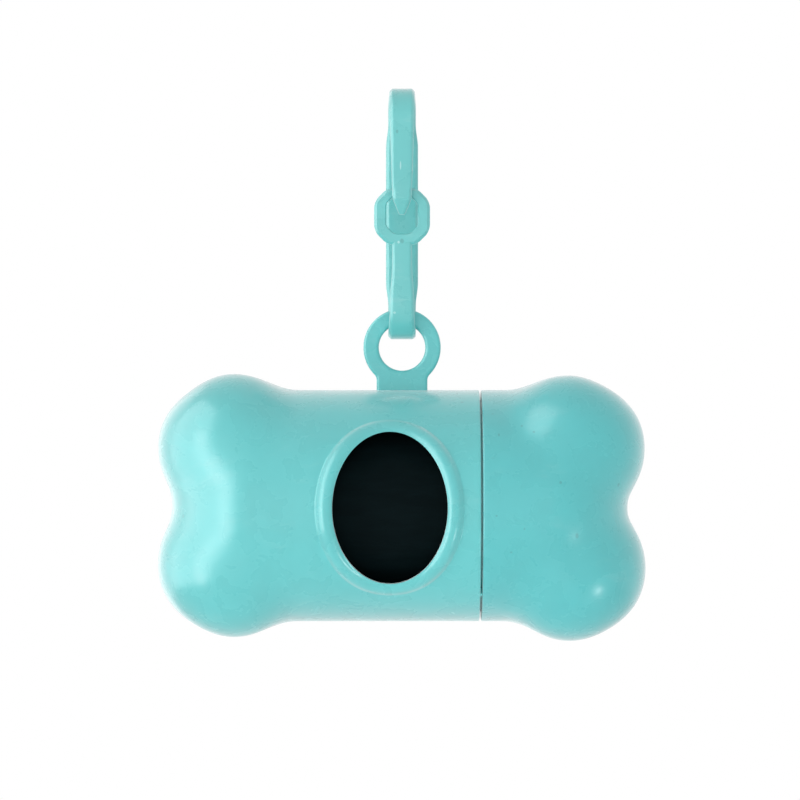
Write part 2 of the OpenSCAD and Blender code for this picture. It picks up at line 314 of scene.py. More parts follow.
def solved(inside, count, limit):
    """How far each of a count of rays goes inside, as a column, found by halving up to a limit."""
    near = np.zeros((count, 1))
    far = np.full((count, 1), limit)
    for _ in range(HALVINGS):
        middle = (near + far) / 2
        held = inside(middle)[:, None]
        near = np.where(held, middle, near)
        far = np.where(held, far, middle)
    return near


# ---- The skin of the bone ----


def soft_min(a, b, width):
    return np.minimum(a, b) - np.maximum(width - np.abs(a - b), 0) ** 2 / (4 * width)


def body_distance(p):
    along = np.abs(p[..., 0]) - FAN_X
    out = np.hypot(p[..., 1], p[..., 2]) - BODY_R + END_ROUND
    outside = np.hypot(np.maximum(along, 0), np.maximum(out, 0))
    return outside + np.minimum(np.maximum(along, out), 0) - END_ROUND


def knob_distance(p, end, side):
    x, z, flat, slant = KNOBS[end, side]
    slant = math.radians(slant)
    along = end * p[..., 0] - x
    deep = np.maximum(np.abs(p[..., 1]) - KNOB_HALF_DEPTH, 0)
    up = side * p[..., 2] - z
    reach = np.sqrt(along**2 + deep**2 + up**2)
    facing = along * math.cos(slant) + up * math.sin(slant)
    return reach - KNOB_R + flat * np.maximum(facing / np.maximum(reach, TINY), 0) ** SLANT_FOCUS


def bone_distance(p):
    """Distance from the skin of the bone, below 0 inside it."""
    ends = []
    for end in (-1, 1):
        ends.append(soft_min(knob_distance(p, end, 1), knob_distance(p, end, -1), KNOB_BLENDS[end]))
    return soft_min(body_distance(p), np.where(p[..., 0] < 0, ends[0], ends[1]), BODY_BLEND)


def skin_points(start, ways, inset):
    """The points where rays from one place meet the skin, moved inwards by an inset."""
    reach = solved(lambda go: bone_distance(start + go * ways) + inset < 0, len(ways), SKIN_REACH)
    return start + reach * ways


def stations(start, end, cells):
    """Evenly spaced places strictly between two others."""
    return list(np.linspace(start, end, cells + 1))[1:-1]


def skin_ring(x, lean, inset, side):
    """One ring of the skin; lean tips its rays towards the end on that side."""
    ways = round_ring(side * math.sin(lean), math.cos(lean))
    return skin_points((x, 0.0, 0.0), ways, inset)


def half_skin(side, places, inset, leans):
    """Rings from given places to the end of the bone on that side, and the pole there."""
    rings = [skin_ring(side * place, 0.0, inset, side) for place in places]
    rings += [skin_ring(side * FAN_X, math.pi / 2 * i / leans, inset, side) for i in range(leans)]
    pole = skin_points((side * FAN_X, 0.0, 0.0), np.array([[side, 0.0, 0.0]]), inset)
    return rings, pole


def mouth_rings(side, mouth):
    """The rounded outer edge of the seam, from its flat face to the skin."""
    rings = []
    for i in range(BEVEL_STEPS + 1):
        turn = math.pi / 2 * i / BEVEL_STEPS
        along = mouth + SEAM_BEVEL * (1 - math.cos(turn))
        rings.append(round_ring(side * along, BODY_R - SEAM_BEVEL * (1 - math.sin(turn))))
    return rings


def add_skins(piece, rings, poles, hole_rings=(), hole_places=()):
    """Joins rings in order, closes both ends at their poles and returns the rings' first numbers.

    Cells at the hole's rings and places are left out."""
    firsts = [piece.add(ring) for ring in rings]
    for r, (first, second) in enumerate(zip(firsts, firsts[1:])):
        piece.strip(first, second, SIDES, hole_places if r in hole_rings else ())
    for first, pole in zip((firsts[0], firsts[-1]), poles):
        tip = piece.add(pole)
        for i in range(SIDES):
            piece.faces.append((first + i, first + (i + 1) % SIDES, tip))
    return firsts


# ---- The window ----


def window_points(t):
    """The edge of the window on the skin, and the directions along the skin away from the window."""
    z = WINDOW_H / 2 * np.sin(t)
    p = np.stack([WINDOW_X + WINDOW_W / 2 * np.cos(t), -np.sqrt(BODY_R**2 - z**2), z], axis=1)
    out = p * (0.0, 1.0, 1.0) / BODY_R
    dz = WINDOW_H / 2 * np.cos(t)
    along = np.stack([-WINDOW_W / 2 * np.sin(t), -z * dz / p[:, 1], dz], axis=1)
    aside = np.cross(along, out)
    return p, aside / np.linalg.norm(aside, axis=1)[:, None]


def rim_profile(rim_w, rim_h):
    """The rim's section from the window outwards, as distance and height: an arch with a hollow foot."""
    section = [(0.0, 0.0)]
    for start, end, width in RIM_ARCH:
        first_d, first_h = section[-1]
        lean_start, lean_end = math.radians(start), math.radians(end)
        if start == end:
            section.append((first_d + width, first_h - width * math.tan(lean_start)))
            continue
        radius = width / abs(math.sin(lean_end) - math.sin(lean_start))
        bulge = radius if end > start else -radius
        for lean in np.linspace(lean_start, lean_end, RIM_STEPS + 1)[1:]:
            d = first_d + bulge * (math.sin(lean) - math.sin(lean_start))
            section.append((d, first_h + bulge * (math.cos(lean) - math.cos(lean_start))))
    foot_h = section[-1][1]
    top_h = max(h for d, h in section) - foot_h
    arch = [(d * rim_w / RIM_ARCH_W, (h - foot_h) * rim_h / top_h) for d, h in section]
    edge_h = arch[0][1]
    return [(0.0, h) for h in (-0.5, -0.1, edge_h * 0.5, edge_h - 0.04)] + arch


def to_skin(points, radius):
    """Points moved square to the bone's axis to stand at a radius."""
    moved = points.copy()
    moved[:, 1:] *= (radius / np.hypot(points[:, 1], points[:, 2]))[:, None]
    return moved


def straight_in(points, radius):
    """Points moved along Y to stand at a radius."""
    moved = points.copy()
    moved[:, 1] = -np.sqrt(radius**2 - points[:, 2] ** 2)
    return moved


def rows_between(row, border, shares, radius):
    """Rows at shares of the way from the border of a patch to a row, on the round middle."""
    row, border = unrolled(row), unrolled(border)
    return [rolled(border + (row - border) * share, radius) for share in shares]


def patch_border(right_ring, left_ring, low, high, firsts):
    """Numbers of the points round a rectangle of cells, and their places in it from -1 to 1."""
    step = 1 if left_ring > right_ring else -1
    walk = [(right_ring, place) for place in range(low, high)]
    walk += [(ring, high) for ring in range(right_ring, left_ring, step)]
    walk += [(left_ring, place) for place in range(high, low, -1)]
    walk += [(ring, low) for ring in range(left_ring, right_ring, -step)]
    rings, places = np.array(walk).T
    across = 1 - 2 * (rings - right_ring) / (left_ring - right_ring)
    numbers = [firsts[ring] + place for ring, place in walk]
    return numbers, np.stack([across, 2 * (places - low) / (high - low) - 1], axis=1)


def add_window(piece, outer, inner, rim_w, rim_h):
    """Fills the two rectangles left out of the skins with the window, its wall and its raised rim.

    Outer and inner are the numbers of the points round a rectangle, and their places in it."""
    so_far = np.concatenate(piece.points)
    numbers, places = outer
    t = np.arctan2(places[:, 1], places[:, 0])
    p, aside = window_points(t)
    rows = []
    # The rim runs out flatter above and below, where the skin turns away
    fade = 1 - RIM_FADE * np.sin(t) ** 4
    for d, h in rim_profile(rim_w, rim_h):
        radius = BODY_R + max(h, 0) * fade + min(h, 0)
        rows.append(straight_in(p, radius) if d == 0.0 else to_skin(p + d * aside, radius))
    rows += rows_between(rows[-1], so_far[numbers], (0.75, 0.5, 0.25), BODY_R)
    low = straight_in(p, BODY_R - WALL)
    below = [low] + rows_between(low, so_far[inner[0]], (0.66, 0.33), BODY_R - WALL)
    count = len(p)
    chain = [piece.add(row) for row in rows[::-1] + below]
    for first, second in zip(chain, chain[1:]):
        piece.strip(first, second, count)
    for numbers, edge in ((outer[0], chain[0]), (inner[0], chain[-1])):
        for i in range(count):
            j = (i + 1) % count
            piece.faces.append((numbers[i], numbers[j], edge + j, edge + i))


# ---- Plates with a hole, solved along rays from a centre ----


def pierced_plate(piece, centre, place, half_t, hole, outline, arc=5, count=288):
    """A plate with a hole; each is a distance function in the XZ plane and the rounding of its edge.

    The rays start at centre, and place is the y of the plate's middle and how far up the plate moves.
    With an arc of one step the edges are bevelled."""
    middle_y, up = place
    angle = 2 * math.pi * (np.arange(count) + 0.5) / count
    ways = np.stack([np.cos(angle), np.sin(angle)], axis=1)

    def edge_rows(distance, rounding, outwards, side):
        rows = []
        for i in range(arc + 1):
            turn = math.pi / 2 * i / arc
            level = outwards * rounding * (1 - math.cos(turn))
            reach = solved(lambda go: distance(centre + go * ways) < level, count, PLATE_REACH)
            rows.append((reach, middle_y + side * (half_t - rounding + rounding * math.sin(turn))))
        return rows

    rows = []
    for side in (-1, 1):
        inner = edge_rows(*hole, 1, side)
        outer = edge_rows(*outline, -1, side)
        face = []
        for share in (0.08, 0.36, 0.64, 0.92):
            face.append((inner[-1][0] * (1 - share) + outer[-1][0] * share, middle_y + side * half_t))
        rows += (inner + face + outer[::-1])[::-side]
    loop = []
    for reach, y in rows:
        x, z = (centre + reach * ways).T
        loop.append(np.stack([x, np.full(count, y), z + up], axis=1))
    piece.loft(loop, loop=True)


def ring_and_plate(p):
    """Distance from the outline of the hanging ring with its plate, measured from the ring's centre."""
    ring = np.hypot(p[:, 0], p[:, 1]) - RING_R
    low = -RING_RISE - TAB_ROOT
    dx = np.abs(p[:, 0]) - TAB_W / 2
    dz = np.abs(p[:, 1] - (low + TAB_TOP) / 2) - (TAB_TOP - low) / 2
    plate = np.hypot(np.maximum(dx, 0), np.maximum(dz, 0)) + np.minimum(np.maximum(dx, dz), 0)
    return soft_min(ring, plate, TAB_BLEND)


def ring_eye(p):
    return np.hypot(p[:, 0], p[:, 1]) - EYE_R


def eight_sided(half_w, half_h, corner, rounding, middle_z):
    """Distance from an eight-sided outline with rounded corners."""
    diagonal = (half_w + half_h - corner) / math.sqrt(2)

    def distance(p):
        x = np.abs(p[:, 0])
        z = np.abs(p[:, 1] - middle_z)
        planes = np.stack([x - half_w, z - half_h, (x + z) / math.sqrt(2) - diagonal]) + rounding
        return np.sqrt((np.maximum(planes, 0) ** 2).sum(axis=0)) - rounding

    return distance


# ---- The strap of the clip ----


def strap_section(width, thick, bevel):
    """The strap's section, as across and through: a rectangle with bevelled, softly rounded corners."""
    a, b = width / 2, thick / 2
    corners = [(-a, bevel - b), (bevel - a, -b), (a - bevel, -b), (a, bevel - b)]
    corners += [(a, b - bevel), (a - bevel, b), (bevel - a, b), (-a, b - bevel)]
    section = []
    for i, place in enumerate(corners):
        corner = Vector(place)
        before = Vector(corners[i - 1]) - corner
        after = Vector(corners[(i + 1) % len(corners)]) - corner
        cut = min(CORNER_ROUND, before.length * 0.45, after.length * 0.45)
        start = corner + before.normalized() * cut
        end = corner + after.normalized() * cut
        for s in shares(CORNER_STEPS):
            section.append(start * (1 - s) ** 2 + corner * 2 * s * (1 - s) + end * s**2)
    return np.array(section)


def strap_rows(path):
    """Sections set square to a path in the YZ plane: each step is y, z, lean, width, thickness, bevel."""
    rows = []
    for y, z, lean, width, thick, bevel in path:
        across, through = strap_section(width, thick, bevel).T
        rows.append(np.stack([across, y + through * math.cos(lean), z + through * math.sin(lean)], axis=1))
    return rows


def shares(count):
    """Evenly spaced shares from 0 to 1."""
    return [i / count for i in range(count + 1)]


def eased(share):
    share = min(max(share, 0.0), 1.0)
    return share * share * (3 - 2 * share)


def strap_width(z):
    """Width of the strap at a height on the back of the clip."""
    from_top = -z / SPINE_TAPER
    from_low = (z - LOW_BEND_Z) / SPINE_TAPER
    return STRAP_W + (SPINE_W - STRAP_W) * eased(min(from_top, from_low))


def bend_step(middle_z, lean, width):
    """A step of the strap round a bend whose middle is at a height."""
    return BEND_R * math.cos(lean), middle_z + BEND_R * math.sin(lean), lean, width, STRAP_T, STRAP_BEVEL


def clip_body_path():
    """From the crown of the top bend down the back, round the lower bend and up the lower arm."""
    path = []
    for share in shares(BEND_STEPS):
        width = CROWN_W + (STRAP_W - CROWN_W) * eased(1.4 * share)
        path.append(bend_step(0.0, math.pi / 2 * (1 - share), width))
    for i in range(1, BACK_STEPS):
        z = LOW_BEND_Z * i / BACK_STEPS
        path.append((BEND_R, z, 0.0, strap_width(z), STRAP_T, STRAP_BEVEL))
    for share in shares(2 * BEND_STEPS):
        width = STRAP_W + (FRONT_W - STRAP_W) * eased(2 * share - 1)
        path.append(bend_step(LOW_BEND_Z, -math.pi * share, width))
    thinning, bevel_loss = 0.06, 0.15
    for share in shares(LOW_ARM_STEPS)[1:]:
        z = LOW_BEND_Z + (LOW_ARM_TOP_Z - LOW_BEND_Z) * share
        width = FRONT_W + (ARM_W - FRONT_W) * eased(1.6 * share)
        thick, bevel = STRAP_T - thinning * share, STRAP_BEVEL - bevel_loss * share
        path.append((-BEND_R, z, -math.pi, width, thick, bevel))
    return path


def curve_between(a, b, c, d, share):
    """A point and a direction on a cubic curve."""
    a, b, c, d = (np.array(v) for v in (a, b, c, d))
    s = 1 - share
    point = a * s**3 + b * 3 * s * s * share + c * 3 * s * share**2 + d * share**3
    way = (b - a) * 3 * s * s + (c - b) * 6 * s * share + (d - c) * 3 * share**2
    return point, way / np.linalg.norm(way)


def clip_arm_path():
    """From the crown of the top bend down the front to the top of the catch."""
    path = []
    for share in shares(BEND_STEPS):
        path.append(bend_step(0.0, math.pi / 2 * (1 + share), CROWN_W + (FRONT_W - CROWN_W) * share))
    start, pull = (-BEND_R, 0.0), (-BEND_R, -3.2)
    push, end = (ARM_Y, -8.5), (ARM_Y, CATCH_TOP_Z)
    bevel_loss = 0.25
    for share in shares(ARM_STEPS)[1:]:
        (y, z), way = curve_between(start, pull, push, end, share)
        lean = math.atan2(-way[0], way[1])
        width = FRONT_W + (ARM_W - FRONT_W) * share
        path.append((y, z, lean, width, STRAP_T, STRAP_BEVEL - bevel_loss * share))
    return path


def tongue_path():
    """Level sections of the tongue below the arm, down to its hooked tip."""
    path = []
    for z, front, back, half_w, bevel in TONGUE:
        thick = back - front
        path.append(((front + back) / 2, z, math.pi, 2 * half_w, thick, min(bevel, 0.45 * thick)))
    return path


# ---- Node helpers ----


class Nodes:
    """Short calls for the nodes of one tree, which starts empty."""

    def __init__(self, tree):
        self.tree = tree
        tree.nodes.clear()

    def add(self, kind, **values):
        node = self.tree.nodes.new(kind)
        for key, value in values.items():
            setattr(node, key, value)
        return node

    def link(self, source, target):
        self.tree.links.new(source, target)

    def put(self, socket, value):
        """Gives a socket a plain number, vector or colour, or links it to another socket."""
        if isinstance(value, (int, float)):
            socket.default_value = value
        elif isinstance(value, tuple):
            socket.default_value = (*value, 1.0)[: len(socket.default_value)]
        else:
            self.link(value, socket)

    def fill(self, node, values):
        """Sets or links a node's inputs by their names."""
        for name, value in values.items():
            self.put(node.inputs[name], value)

    def calc(self, kind, first, second):
        node = self.add("ShaderNodeMath", operation=kind)
        self.put(node.inputs[0], first)
        self.put(node.inputs[1], second)
        return node.outputs["Value"]


class Finish(Nodes):
    """A material under construction."""

    def __init__(self, name):
        self.material = bpy.data.materials.new(name)
        self.material.use_nodes = True
        super().__init__(self.material.node_tree)
        self.shader = self.add("ShaderNodeBsdfPrincipled")
        output = self.add("ShaderNodeOutputMaterial")
        self.link(self.shader.outputs["BSDF"], output.inputs["Surface"])
        self.place = self.add("ShaderNodeTexCoord").outputs["Object"]

    def done(self, values):
        """Fills in the shader and returns the material."""
        self.fill(self.shader, values)
        return self.material

    def noise(self, per_metre, detail=3.0, rough=0.55, stretch=None, warp=0.0):
        """A noise value from about 0 to 1, with so many features to the metre."""
        place = self.place
        if stretch:
            mapping = self.add("ShaderNodeMapping")
            self.fill(mapping, {"Vector": place, "Scale": stretch})
            place = mapping.outputs["Vector"]
        node = self.add("ShaderNodeTexNoise")
        self.fill(node, {"Vector": place, "Scale": per_metre, "Detail": detail})
        self.fill(node, {"Roughness": rough, "Distortion": warp})
        return node.outputs["Fac"]

    def ramp(self, value, low, high, to_low=0.0, to_high=1.0):
        """Moves a value's range from low-high to another one, softly at its ends."""
        node = self.add("ShaderNodeMapRange", interpolation_type="SMOOTHSTEP")
        self.fill(node, {"Value": value, "From Min": low, "From Max": high})
        self.fill(node, {"To Min": to_low, "To Max": to_high})
        return node.outputs["Result"]

    def mixed(self, share, first, second):
        """Two colours, each a socket or three numbers, mixed by a share."""
        node = self.add("ShaderNodeMix", data_type="RGBA")
        for number, value in ((0, share), (6, first), (7, second)):
            self.put(node.inputs[number], value)
        return node.outputs[2]

    def tinted(self, base, share, strength, tint):
        """A tint mixed into a colour by a share, and how strong it is where the share is 1."""
        return self.mixed(self.calc("MULTIPLY", share, strength), base, tint)

    def specks(self, per_metre, size, share_left_out):
        """1 in small spots scattered over the surface, 0 elsewhere."""
        full_inside, choice_edge = 0.4, 0.02
        node = self.add("ShaderNodeTexVoronoi", feature="F1")
        self.fill(node, {"Vector": self.place, "Scale": per_metre})
        split = self.add("ShaderNodeSeparateColor")
        self.link(node.outputs["Color"], split.inputs["Color"])
        near = self.ramp(node.outputs["Distance"], size, size * full_inside)
        chosen = self.ramp(split.outputs["Red"], share_left_out, share_left_out + choice_edge)
        return self.calc("MULTIPLY", near, chosen)

    def spot(self, x, z, half_w, half_h):
        """1 in a small oval, seen from the front, at a place in millimetres, and 0 outside it."""
        any_depth, full_inside = 1e6, 0.55
        mapping = self.add("ShaderNodeMapping", vector_type="TEXTURE")
        self.fill(mapping, {"Vector": self.place, "Location": (x * MM, 0.0, z * MM)})
        self.fill(mapping, {"Scale": (half_w * MM, any_depth, half_h * MM)})
        length = self.add("ShaderNodeVectorMath", operation="LENGTH")
        self.link(mapping.outputs["Vector"], length.inputs[0])
        return self.ramp(length.outputs["Value"], 1.0, full_inside)

    def bump(self, height, depth_mm, strength, after=None):
        node = self.add("ShaderNodeBump")
        self.fill(node, {"Height": height, "Distance": depth_mm * MM, "Strength": strength})
        if after:
            self.link(after, node.inputs["Normal"])
        return node.outputs["Normal"]


def shade(color, factor):
    return tuple(min(c * factor, 1.0) for c in color)


def moulded_plastic(name, color, gloss, mottle, scuffs, dark_marks=(), pale_spots_and_highlights=()):
    """Satin moulded plastic: soft mottling, a few dark specks, faint scuffs and a fine skin.

    The marks are single places as x, z, half width and half height in millimetres; some pale ones are
    painted highlights."""
    finish = Finish(name)
    cloud = finish.noise(55.0)
    patch = finish.noise(210.0, 4.0, warp=0.4)
    both = finish.calc("ADD", finish.calc("MULTIPLY", cloud, 0.6), finish.calc("MULTIPLY", patch, 0.4))
    tone = finish.ramp(both, 0.38, 0.62)
    base = finish.mixed(tone, shade(color, 1 - mottle), shade(color, 1 + mottle))
    base = finish.tinted(base, finish.specks(190.0, 0.09, 0.9), 0.35, shade(color, 0.45))
    rub = finish.noise(90.0, 5.0, 0.65, stretch=(1.0, 1.0, 3.0))
    rub = finish.calc("MULTIPLY", finish.ramp(rub, 0.56, 0.72), scuffs)
    base = finish.mixed(rub, base, PALE_RUB)
    for mark in dark_marks:
        base = finish.tinted(base, finish.spot(*mark), 0.4, shade(color, 0.4))
    # Pale spots, some of them painted highlights
    for mark in pale_spots_and_highlights:
        base = finish.tinted(base, finish.spot(*mark), 0.5, PALE_SPOT_AND_HIGHLIGHT)
    rough = finish.ramp(patch, 0.3, 0.7, gloss - 0.05, gloss + 0.07)
    grain = finish.bump(finish.noise(2600.0, 2.0), 0.012, 0.5)
    return finish.done({
        "Base Color": base,
        "Roughness": finish.calc("ADD", rough, finish.calc("MULTIPLY", rub, 0.5)),
        "Normal": finish.bump(finish.noise(160.0, 2.0), 0.06, 0.35, after=grain),
        "IOR": 1.5,
        "Sheen Weight": 0.75,
        "Sheen Roughness": 0.4,
        "Coat Weight": 0.5,
        "Coat Roughness": 0.2,
        "Coat IOR": 1.4,
    })


def black_film(name, color):
    """Thin matte film with fine wrinkles along the roll and very little gloss."""
    finish = Finish(name)
    wrinkle = finish.noise(420.0, 5.0, 0.6, stretch=(0.18, 1.0, 1.0), warp=0.6)
    return finish.done({
        "Base Color": finish.mixed(finish.ramp(wrinkle, 0.35, 0.7), shade(color, 0.85), shade(color, 1.15)),
        "Roughness": finish.ramp(wrinkle, 0.3, 0.7, 0.42, 0.62),
        "Normal": finish.bump(wrinkle, 0.05, 0.4),
        "Specular IOR Level": 0.015,
    })


def grey_card(name, color):
    """Cardboard with short fibres and darker flecks."""
    finish = Finish(name)
    fibre = finish.noise(900.0, 5.0, 0.6, stretch=(0.25, 1.0, 1.0), warp=1.0)
    base = finish.mixed(finish.ramp(fibre, 0.3, 0.7), shade(color, 0.75), shade(color, 1.2))
    return finish.done({
        "Base Color": finish.tinted(base, finish.specks(600.0, 0.2, 0.86), 0.5, shade(color, 0.4)),
        "Roughness": finish.ramp(fibre, 0.3, 0.7, 0.8, 0.95),
        "Normal": finish.bump(fibre, 0.08, 0.6),
    })


# ---- Settings that a user would change ----


class DispenserBone(bpy.types.PropertyGroup):
    """Sizes and colours of the two bone mouldings."""

    shell_color: FloatVectorProperty(
        name="Shell colour", description="Colour of the main shell", subtype="COLOR", size=3,
        min=0.0, max=1.0, default=(0.12, 0.572, 0.578),
    )
    cap_color: FloatVectorProperty(
        name="Cap colour", description="Colour of the end cap", subtype="COLOR", size=3,
        min=0.0, max=1.0, default=(0.09, 0.525, 0.54),
    )
    rim_height: FloatProperty(
        name="Rim height", description="Height of the raised rim round the window",
        unit="LENGTH", min=0.0004, max=0.0013, default=0.0012,
    )
    rim_width: FloatProperty(
        name="Rim width", description="Width of the raised rim round the window",
        unit="LENGTH", min=0.002, max=0.003, default=0.00285,
    )
    mottle: FloatProperty(
        name="Mottling", description="Strength of the light and dark patches in the plastic",
        subtype="FACTOR", min=0.0, max=0.3, default=0.025,
    )
    gloss: FloatProperty(
        name="Roughness", description="Mean roughness of the plastic",
        subtype="FACTOR", min=0.05, max=0.9, default=0.27,
    )


class DispenserClip(bpy.types.PropertyGroup):
    """Colour and finish of the lead clip."""

    color: FloatVectorProperty(
        name="Clip colour", description="Colour of the clip", subtype="COLOR", size=3,
        min=0.0, max=1.0, default=(0.15, 0.58, 0.575),
    )
    scuffs: FloatProperty(
        name="Scuffs", description="Strength of the pale rubbed places on the clip",
        subtype="FACTOR", min=0.0, max=1.0, default=0.12,
    )


class DispenserRoll(bpy.types.PropertyGroup):
    """Colours and winding of the bag roll."""

    film_color: FloatVectorProperty(
        name="Film colour", description="Colour of the bags", subtype="COLOR", size=3,
        min=0.0, max=1.0, default=(0.003, 0.0072, 0.0082),
    )
    card_color: FloatVectorProperty(
        name="Core colour", description="Colour of the cardboard core", subtype="COLOR", size=3,
        min=0.0, max=1.0, default=(0.42, 0.29, 0.17),
    )
    turns: IntProperty(
        name="Visible turns", description="Number of turns of film that show at the ends of the roll",
        min=4, max=40, default=22,
    )


class DispenserStage(bpy.types.PropertyGroup):
    """Floor, lamps and camera."""

    floor_color: FloatVectorProperty(
        name="Floor colour", description="Colour of the floor", subtype="COLOR", size=3,
        min=0.0, max=1.0, default=(0.9, 0.9, 0.9),
    )
    floor_drop: FloatProperty(
        name="Floor drop", description="Distance from the clip's top loop down to the floor",
        unit="LENGTH", min=0.1, max=2.0, default=0.35,
    )
    sky_level: FloatProperty(
        name="Sky level", description="Level of the soft light from all round",
        min=0.0, max=2.0, default=0.775,
    )
    key_power: FloatProperty(
        name="Key power", description="Power of the tall lamp on the left", unit="POWER",
        min=0.0, max=200.0, default=0.45,
    )
    fill_power: FloatProperty(
        name="Fill power", description="Power of the small lamp at the lower right", unit="POWER",
        min=0.0, max=200.0, default=0.2,
    )
    front_power: FloatProperty(
        name="Front power", description="Power of the soft lamp beside the camera", unit="POWER",
        min=0.0, max=200.0, default=0.6,
    )
    panel_power: FloatProperty(
        name="Panel power", description="Power of the panels that the left and the back mirror",
        unit="POWER", min=0.0, max=200.0, default=16.6,
    )
    camera_distance: FloatProperty(
        name="Camera distance", description="Distance of the camera from the middle of the dispenser",
        unit="LENGTH", min=0.3, max=3.0, default=0.705,
    )


# ---- Operators ----


class DISPENSER_OT_main_shell(bpy.types.Operator):
    """Build the main shell: bone end and middle, window with rim, neck, tab and ring"""

    bl_idname = "dispenser.main_shell"
    bl_label = "Main shell"

    def execute(self, context):
        look = context.scene.dispenser_bone
        material = moulded_plastic("shell_plastic", look.shell_color, look.gloss, look.mottle, BONE_SCUFFS)
        piece = Moulding()
        straight = stations(SEAM_BEVEL - SHELL_MOUTH, -PATCH_RIGHT, SEAM_CELLS)
        across = list(np.linspace(-PATCH_RIGHT, PATCH_LEFT, WINDOW_CELLS_WIDE + 1))
        beyond = stations(PATCH_LEFT, FAN_X, BEYOND_CELLS)
        outer, pole = half_skin(-1, straight + across + beyond, 0.0, OUTER_LEANS)
        across = list(np.linspace(-INNER_PATCH_RIGHT, PATCH_LEFT, WINDOW_CELLS_WIDE + 1))
        inner, inner_pole = half_skin(-1, across + beyond, WALL, INNER_LEANS)
        neck = [
            (SHELL_MOUTH, NECK_R), (SHELL_MOUTH + NECK_HOLD, NECK_R), (NECK_TIP_X - NECK_LEAD, NECK_R),
            (NECK_TIP_X, NECK_R - NECK_LEAD), (NECK_TIP_X, NECK_BORE_R),
            (NECK_TIP_X - NECK_HOLD, NECK_BORE_R), (NECK_ROOT_X + NECK_FLARE, NECK_BORE_R),
            (NECK_ROOT_X, BODY_R - WALL),
        ]
        seam = mouth_rings(-1, -SHELL_MOUTH)[::-1] + [round_ring(x, r) for x, r in neck]
        outer_last = len(outer) - 1 - len(straight)
        outer_first = outer_last - WINDOW_CELLS_WIDE
        inner_first = len(outer) + len(seam)
        inner_last = inner_first + WINDOW_CELLS_WIDE
        low = (SIDES - WINDOW_CELLS_HIGH) // 2
        high = low + WINDOW_CELLS_HIGH
        hole_rings = {*range(outer_first, outer_last), *range(inner_first, inner_last)}
        hole = (hole_rings, range(low, high))
        firsts = add_skins(piece, outer[::-1] + seam + inner, (pole, inner_pole), *hole)
        outer_border = patch_border(outer_last, outer_first, low, high, firsts)
        inner_border = patch_border(inner_first, inner_last, low, high, firsts)
        add_window(piece, outer_border, inner_border, look.rim_width / MM, look.rim_height / MM)
        add_key(piece)
        add_gate_mark(piece, pole[0])
        eye, ring = (ring_eye, EYE_ROUND), (ring_and_plate, RING_ROUND)
        pierced_plate(piece, (0.0, 0.0), (0.0, BODY_R + RING_RISE), TAB_T / 2, eye, ring)
        shell = piece.build("shell_moulding", material, AXIS_Z)
        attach(shell, "shell")
        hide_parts("main_shell")
        return {"FINISHED"}


def add_key(piece):
    """The locating key: a small block that bridges the seam below the window."""
    edge = 0.1
    rows = []
    for x, inset in ((SHELL_MOUTH - KEY_ROOT, 0.0), (CAP_MOUTH - KEY_BEVEL, 0.0), (CAP_MOUTH, KEY_BEVEL)):
        low, high = KEY_LOW_R, KEY_HIGH_R - inset
        w = KEY_HALF_W - inset
        section = [(low, -w), (low, w), (high - edge, w)]
        section += [(high, w - edge), (high, edge - w), (high - edge, -w)]
        out, aside = np.array(section).T
        y = -out * math.cos(KEY_ANGLE) - aside * math.sin(KEY_ANGLE)
        z = -out * math.sin(KEY_ANGLE) + aside * math.cos(KEY_ANGLE)
        rows.append(np.stack([np.full(len(y), x), y, z], axis=1))
    piece.loft(rows)


def add_gate_mark(piece, end_point):
    """The round mark that the moulding gate leaves on the closed end."""
    mark_r, mark_h, mark_z, sunk, root_l = 0.75, 0.3, 0.7, 0.02, 0.6
    rows = []
    for turn in np.linspace(0, math.pi / 2, 7):
        x = end_point[0] - mark_h * math.sin(turn) + sunk
        rows.append(ring_at(x, mark_r * math.cos(turn) + TINY, full_turn(32), mark_z))
    root = rows[0].copy()
    root[:, 0] += root_l
    piece.loft([root] + rows)


class DISPENSER_OT_end_cap(bpy.types.Operator):
    """Build the end cap that pulls off the neck of the shell"""

    bl_idname = "dispenser.end_cap"
    bl_label = "End cap"

    def execute(self, context):
        look = context.scene.dispenser_bone
        material = moulded_plastic(
            "cap_plastic", look.cap_color, look.gloss, look.mottle, BONE_SCUFFS, CAP_MARKS
        )
        piece = Moulding()
        outer, pole = half_skin(1, stations(CAP_MOUTH + SEAM_BEVEL, FAN_X, CAP_CELLS), 0.0, OUTER_LEANS)
        lead = SOCKET_LEAD
        socket = [(CAP_MOUTH, SOCKET_R + lead), (CAP_MOUTH + lead, SOCKET_R), (SOCKET_MID_X, SOCKET_R)]
        places = [SOCKET_DEPTH_X + 0.02] + stations(SOCKET_DEPTH_X, FAN_X, SOCKET_CELLS)
        inner, inner_pole = half_skin(1, places, WALL, INNER_LEANS)
        step = skin_ring(SOCKET_DEPTH_X, 0.0, WALL, 1)
        step[:, 1:] *= np.maximum(SOCKET_R / np.hypot(step[:, 1], step[:, 2]), 1.0)[:, None]
        seam = mouth_rings(1, CAP_MOUTH)[::-1] + [round_ring(x, r) for x, r in socket]
        add_skins(piece, outer[::-1] + seam + [step] + inner, (pole, inner_pole))
        cap = piece.build("cap_moulding", material, AXIS_Z)
        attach(cap, "cap")
        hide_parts("end_cap")
        return {"FINISHED"}


